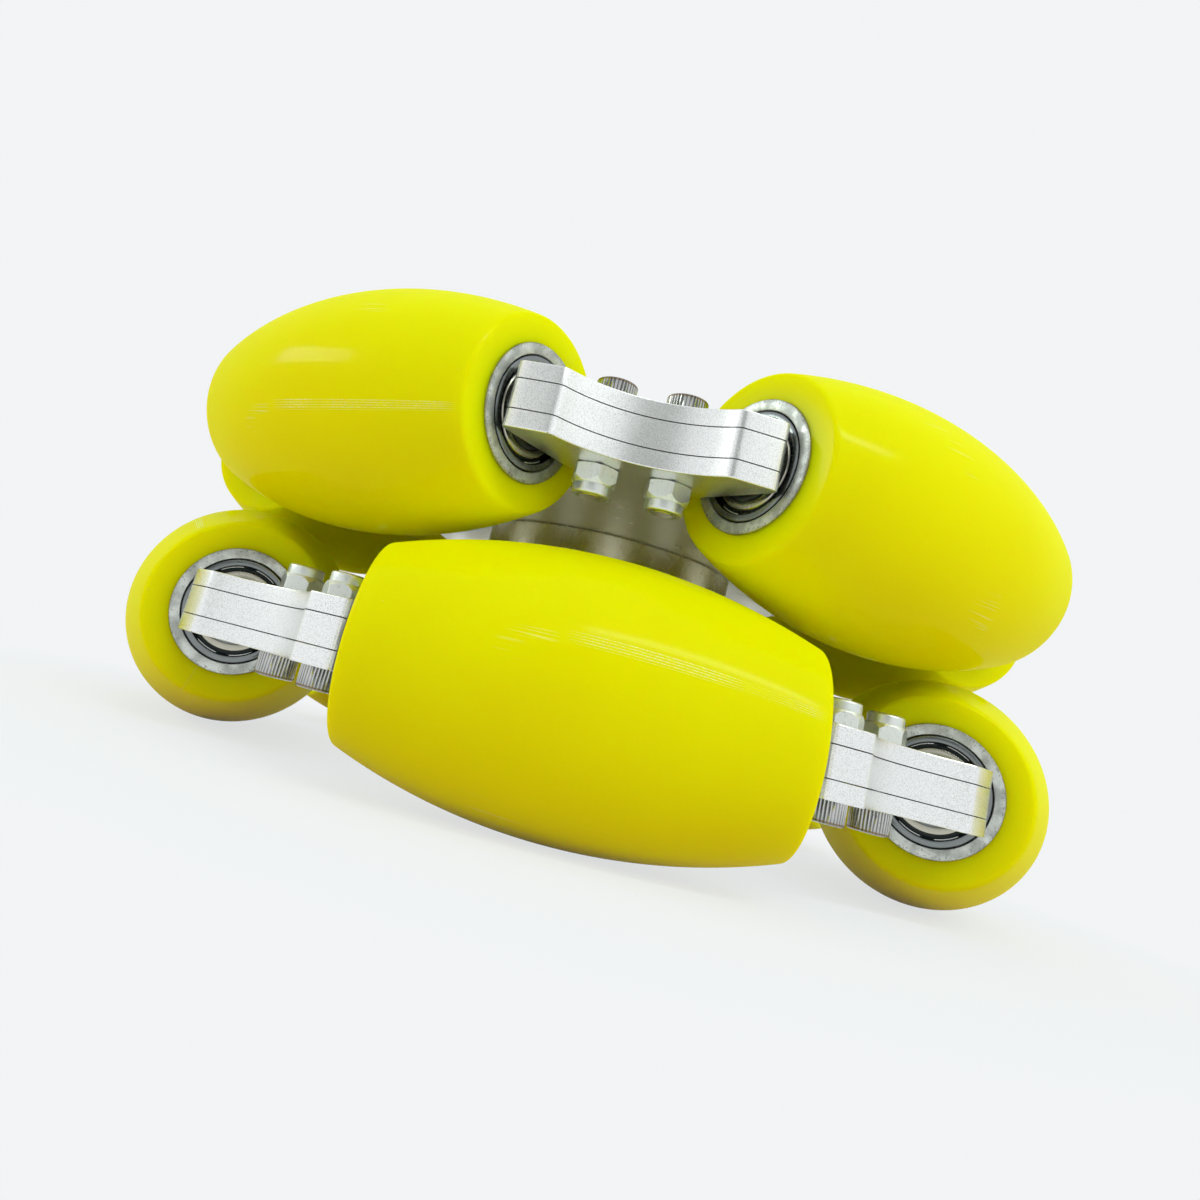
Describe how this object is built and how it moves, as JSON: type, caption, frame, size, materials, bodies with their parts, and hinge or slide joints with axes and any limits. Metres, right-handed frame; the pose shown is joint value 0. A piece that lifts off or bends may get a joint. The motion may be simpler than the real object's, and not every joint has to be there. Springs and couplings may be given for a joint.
{
  "type": "omni wheel",
  "caption": "Double-row omni wheel: barrel rollers on ball bearings, held in layered star plates round a bored hub.",
  "frame": {"origin": "the wheel's centre, half way along its bore", "axes": "+Z along the drive bore; -Y through the first roller of the lower row; the wheel lies on that row"},
  "size_m": [0.203, 0.203, 0.0864],
  "materials": {
    "tyre_polyurethane": "glossy cast polyurethane, bright yellow",
    "plate_aluminium": "bead-blasted, clear anodised",
    "hub_aluminium": "fine turned, clear anodised",
    "core_aluminium": "rough turned",
    "axle_steel": "turned and ground",
    "bearing_steel": "ground bearing steel",
    "ball_steel": "polished balls in a pressed cage",
    "screw_steel": "bright stainless steel, knurled heads",
    "nut_steel": "bright zinc plate",
    "nut_insert_nylon": "natural nylon"
  },
  "bodies": {
    "hub_and_plates": {"hub": "hub_aluminium", "lower_outer_plate": "plate_aluminium", "lower_middle_plate": "plate_aluminium", "lower_inner_plate": "plate_aluminium", "upper_outer_plate": "plate_aluminium", "upper_middle_plate": "plate_aluminium", "upper_inner_plate": "plate_aluminium", "lower_axles": "axle_steel", "upper_axles": "axle_steel", "bearing_inner_rings": "bearing_steel", "arm_screws": "screw_steel", "lock_nuts": "nut_steel", "lock_nut_inserts": "nut_insert_nylon", "hub_screws": "screw_steel"},
    "lower_roller_1": {"lower_roller_1_tyre": "tyre_polyurethane", "lower_roller_1_core": "core_aluminium", "lower_roller_1_bearings": "bearing_steel"},
    "lower_roller_1_ball_sets": {"lower_roller_1_balls": "ball_steel"},
    "lower_roller_2": {"lower_roller_2_tyre": "tyre_polyurethane", "lower_roller_2_core": "core_aluminium", "lower_roller_2_bearings": "bearing_steel"},
    "lower_roller_2_ball_sets": {"lower_roller_2_balls": "ball_steel"},
    "lower_roller_3": {"lower_roller_3_tyre": "tyre_polyurethane", "lower_roller_3_core": "core_aluminium", "lower_roller_3_bearings": "bearing_steel"},
    "lower_roller_3_ball_sets": {"lower_roller_3_balls": "ball_steel"},
    "lower_roller_4": {"lower_roller_4_tyre": "tyre_polyurethane", "lower_roller_4_core": "core_aluminium", "lower_roller_4_bearings": "bearing_steel"},
    "lower_roller_4_ball_sets": {"lower_roller_4_balls": "ball_steel"},
    "lower_roller_5": {"lower_roller_5_tyre": "tyre_polyurethane", "lower_roller_5_core": "core_aluminium", "lower_roller_5_bearings": "bearing_steel"},
    "lower_roller_5_ball_sets": {"lower_roller_5_balls": "ball_steel"},
    "upper_roller_1": {"upper_roller_1_tyre": "tyre_polyurethane", "upper_roller_1_core": "core_aluminium", "upper_roller_1_bearings": "bearing_steel"},
    "upper_roller_1_ball_sets": {"upper_roller_1_balls": "ball_steel"},
    "upper_roller_2": {"upper_roller_2_tyre": "tyre_polyurethane", "upper_roller_2_core": "core_aluminium", "upper_roller_2_bearings": "bearing_steel"},
    "upper_roller_2_ball_sets": {"upper_roller_2_balls": "ball_steel"},
    "upper_roller_3": {"upper_roller_3_tyre": "tyre_polyurethane", "upper_roller_3_core": "core_aluminium", "upper_roller_3_bearings": "bearing_steel"},
    "upper_roller_3_ball_sets": {"upper_roller_3_balls": "ball_steel"},
    "upper_roller_4": {"upper_roller_4_tyre": "tyre_polyurethane", "upper_roller_4_core": "core_aluminium", "upper_roller_4_bearings": "bearing_steel"},
    "upper_roller_4_ball_sets": {"upper_roller_4_balls": "ball_steel"},
    "upper_roller_5": {"upper_roller_5_tyre": "tyre_polyurethane", "upper_roller_5_core": "core_aluminium", "upper_roller_5_bearings": "bearing_steel"},
    "upper_roller_5_ball_sets": {"upper_roller_5_balls": "ball_steel"}
  },
  "joints": [
    {"name": "lower_roller_1_spin", "type": "hinge", "parent": "hub_and_plates", "child": "lower_roller_1", "pos_m": [0, -0.0791, -0.0208], "axis": [1, 0, 0], "continuous": true},
    {"name": "lower_roller_1_balls_orbit", "type": "hinge", "parent": "hub_and_plates", "child": "lower_roller_1_ball_sets", "pos_m": [0, -0.0791, -0.0208], "axis": [1, 0, 0], "continuous": true},
    {"name": "lower_roller_2_spin", "type": "hinge", "parent": "hub_and_plates", "child": "lower_roller_2", "pos_m": [0.07523, -0.02444, -0.0208], "axis": [0.309, 0.9511, 0], "continuous": true},
    {"name": "lower_roller_2_balls_orbit", "type": "hinge", "parent": "hub_and_plates", "child": "lower_roller_2_ball_sets", "pos_m": [0.07523, -0.02444, -0.0208], "axis": [0.309, 0.9511, 0], "continuous": true},
    {"name": "lower_roller_3_spin", "type": "hinge", "parent": "hub_and_plates", "child": "lower_roller_3", "pos_m": [0.04649, 0.06399, -0.0208], "axis": [-0.809, 0.5878, 0], "continuous": true},
    {"name": "lower_roller_3_balls_orbit", "type": "hinge", "parent": "hub_and_plates", "child": "lower_roller_3_ball_sets", "pos_m": [0.04649, 0.06399, -0.0208], "axis": [-0.809, 0.5878, 0], "continuous": true},
    {"name": "lower_roller_4_spin", "type": "hinge", "parent": "hub_and_plates", "child": "lower_roller_4", "pos_m": [-0.04649, 0.06399, -0.0208], "axis": [-0.809, -0.5878, 0], "continuous": true},
    {"name": "lower_roller_4_balls_orbit", "type": "hinge", "parent": "hub_and_plates", "child": "lower_roller_4_ball_sets", "pos_m": [-0.04649, 0.06399, -0.0208], "axis": [-0.809, -0.5878, 0], "continuous": true},
    {"name": "lower_roller_5_spin", "type": "hinge", "parent": "hub_and_plates", "child": "lower_roller_5", "pos_m": [-0.07523, -0.02444, -0.0208], "axis": [0.309, -0.9511, 0], "continuous": true},
    {"name": "lower_roller_5_balls_orbit", "type": "hinge", "parent": "hub_and_plates", "child": "lower_roller_5_ball_sets", "pos_m": [-0.07523, -0.02444, -0.0208], "axis": [0.309, -0.9511, 0], "continuous": true},
    {"name": "upper_roller_1_spin", "type": "hinge", "parent": "hub_and_plates", "child": "upper_roller_1", "pos_m": [0.04649, -0.06399, 0.0208], "axis": [0.809, 0.5878, 0], "continuous": true},
    {"name": "upper_roller_1_balls_orbit", "type": "hinge", "parent": "hub_and_plates", "child": "upper_roller_1_ball_sets", "pos_m": [0.04649, -0.06399, 0.0208], "axis": [0.809, 0.5878, 0], "continuous": true},
    {"name": "upper_roller_2_spin", "type": "hinge", "parent": "hub_and_plates", "child": "upper_roller_2", "pos_m": [0.07523, 0.02444, 0.0208], "axis": [-0.309, 0.9511, 0], "continuous": true},
    {"name": "upper_roller_2_balls_orbit", "type": "hinge", "parent": "hub_and_plates", "child": "upper_roller_2_ball_sets", "pos_m": [0.07523, 0.02444, 0.0208], "axis": [-0.309, 0.9511, 0], "continuous": true},
    {"name": "upper_roller_3_spin", "type": "hinge", "parent": "hub_and_plates", "child": "upper_roller_3", "pos_m": [0, 0.0791, 0.0208], "axis": [-1, 0, 0], "continuous": true},
    {"name": "upper_roller_3_balls_orbit", "type": "hinge", "parent": "hub_and_plates", "child": "upper_roller_3_ball_sets", "pos_m": [0, 0.0791, 0.0208], "axis": [-1, 0, 0], "continuous": true},
    {"name": "upper_roller_4_spin", "type": "hinge", "parent": "hub_and_plates", "child": "upper_roller_4", "pos_m": [-0.07523, 0.02444, 0.0208], "axis": [-0.309, -0.9511, 0], "continuous": true},
    {"name": "upper_roller_4_balls_orbit", "type": "hinge", "parent": "hub_and_plates", "child": "upper_roller_4_ball_sets", "pos_m": [-0.07523, 0.02444, 0.0208], "axis": [-0.309, -0.9511, 0], "continuous": true},
    {"name": "upper_roller_5_spin", "type": "hinge", "parent": "hub_and_plates", "child": "upper_roller_5", "pos_m": [-0.04649, -0.06399, 0.0208], "axis": [0.809, -0.5878, 0], "continuous": true},
    {"name": "upper_roller_5_balls_orbit", "type": "hinge", "parent": "hub_and_plates", "child": "upper_roller_5_ball_sets", "pos_m": [-0.04649, -0.06399, 0.0208], "axis": [0.809, -0.5878, 0], "continuous": true}
  ],
  "couplings": [
    {"joint": "lower_roller_1_balls_orbit", "follows": "lower_roller_1_spin", "ratio": 0.58276},
    {"joint": "lower_roller_2_balls_orbit", "follows": "lower_roller_2_spin", "ratio": 0.58276},
    {"joint": "lower_roller_3_balls_orbit", "follows": "lower_roller_3_spin", "ratio": 0.58276},
    {"joint": "lower_roller_4_balls_orbit", "follows": "lower_roller_4_spin", "ratio": 0.58276},
    {"joint": "lower_roller_5_balls_orbit", "follows": "lower_roller_5_spin", "ratio": 0.58276},
    {"joint": "upper_roller_1_balls_orbit", "follows": "upper_roller_1_spin", "ratio": 0.58276},
    {"joint": "upper_roller_2_balls_orbit", "follows": "upper_roller_2_spin", "ratio": 0.58276},
    {"joint": "upper_roller_3_balls_orbit", "follows": "upper_roller_3_spin", "ratio": 0.58276},
    {"joint": "upper_roller_4_balls_orbit", "follows": "upper_roller_4_spin", "ratio": 0.58276},
    {"joint": "upper_roller_5_balls_orbit", "follows": "upper_roller_5_spin", "ratio": 0.58276}
  ]
}
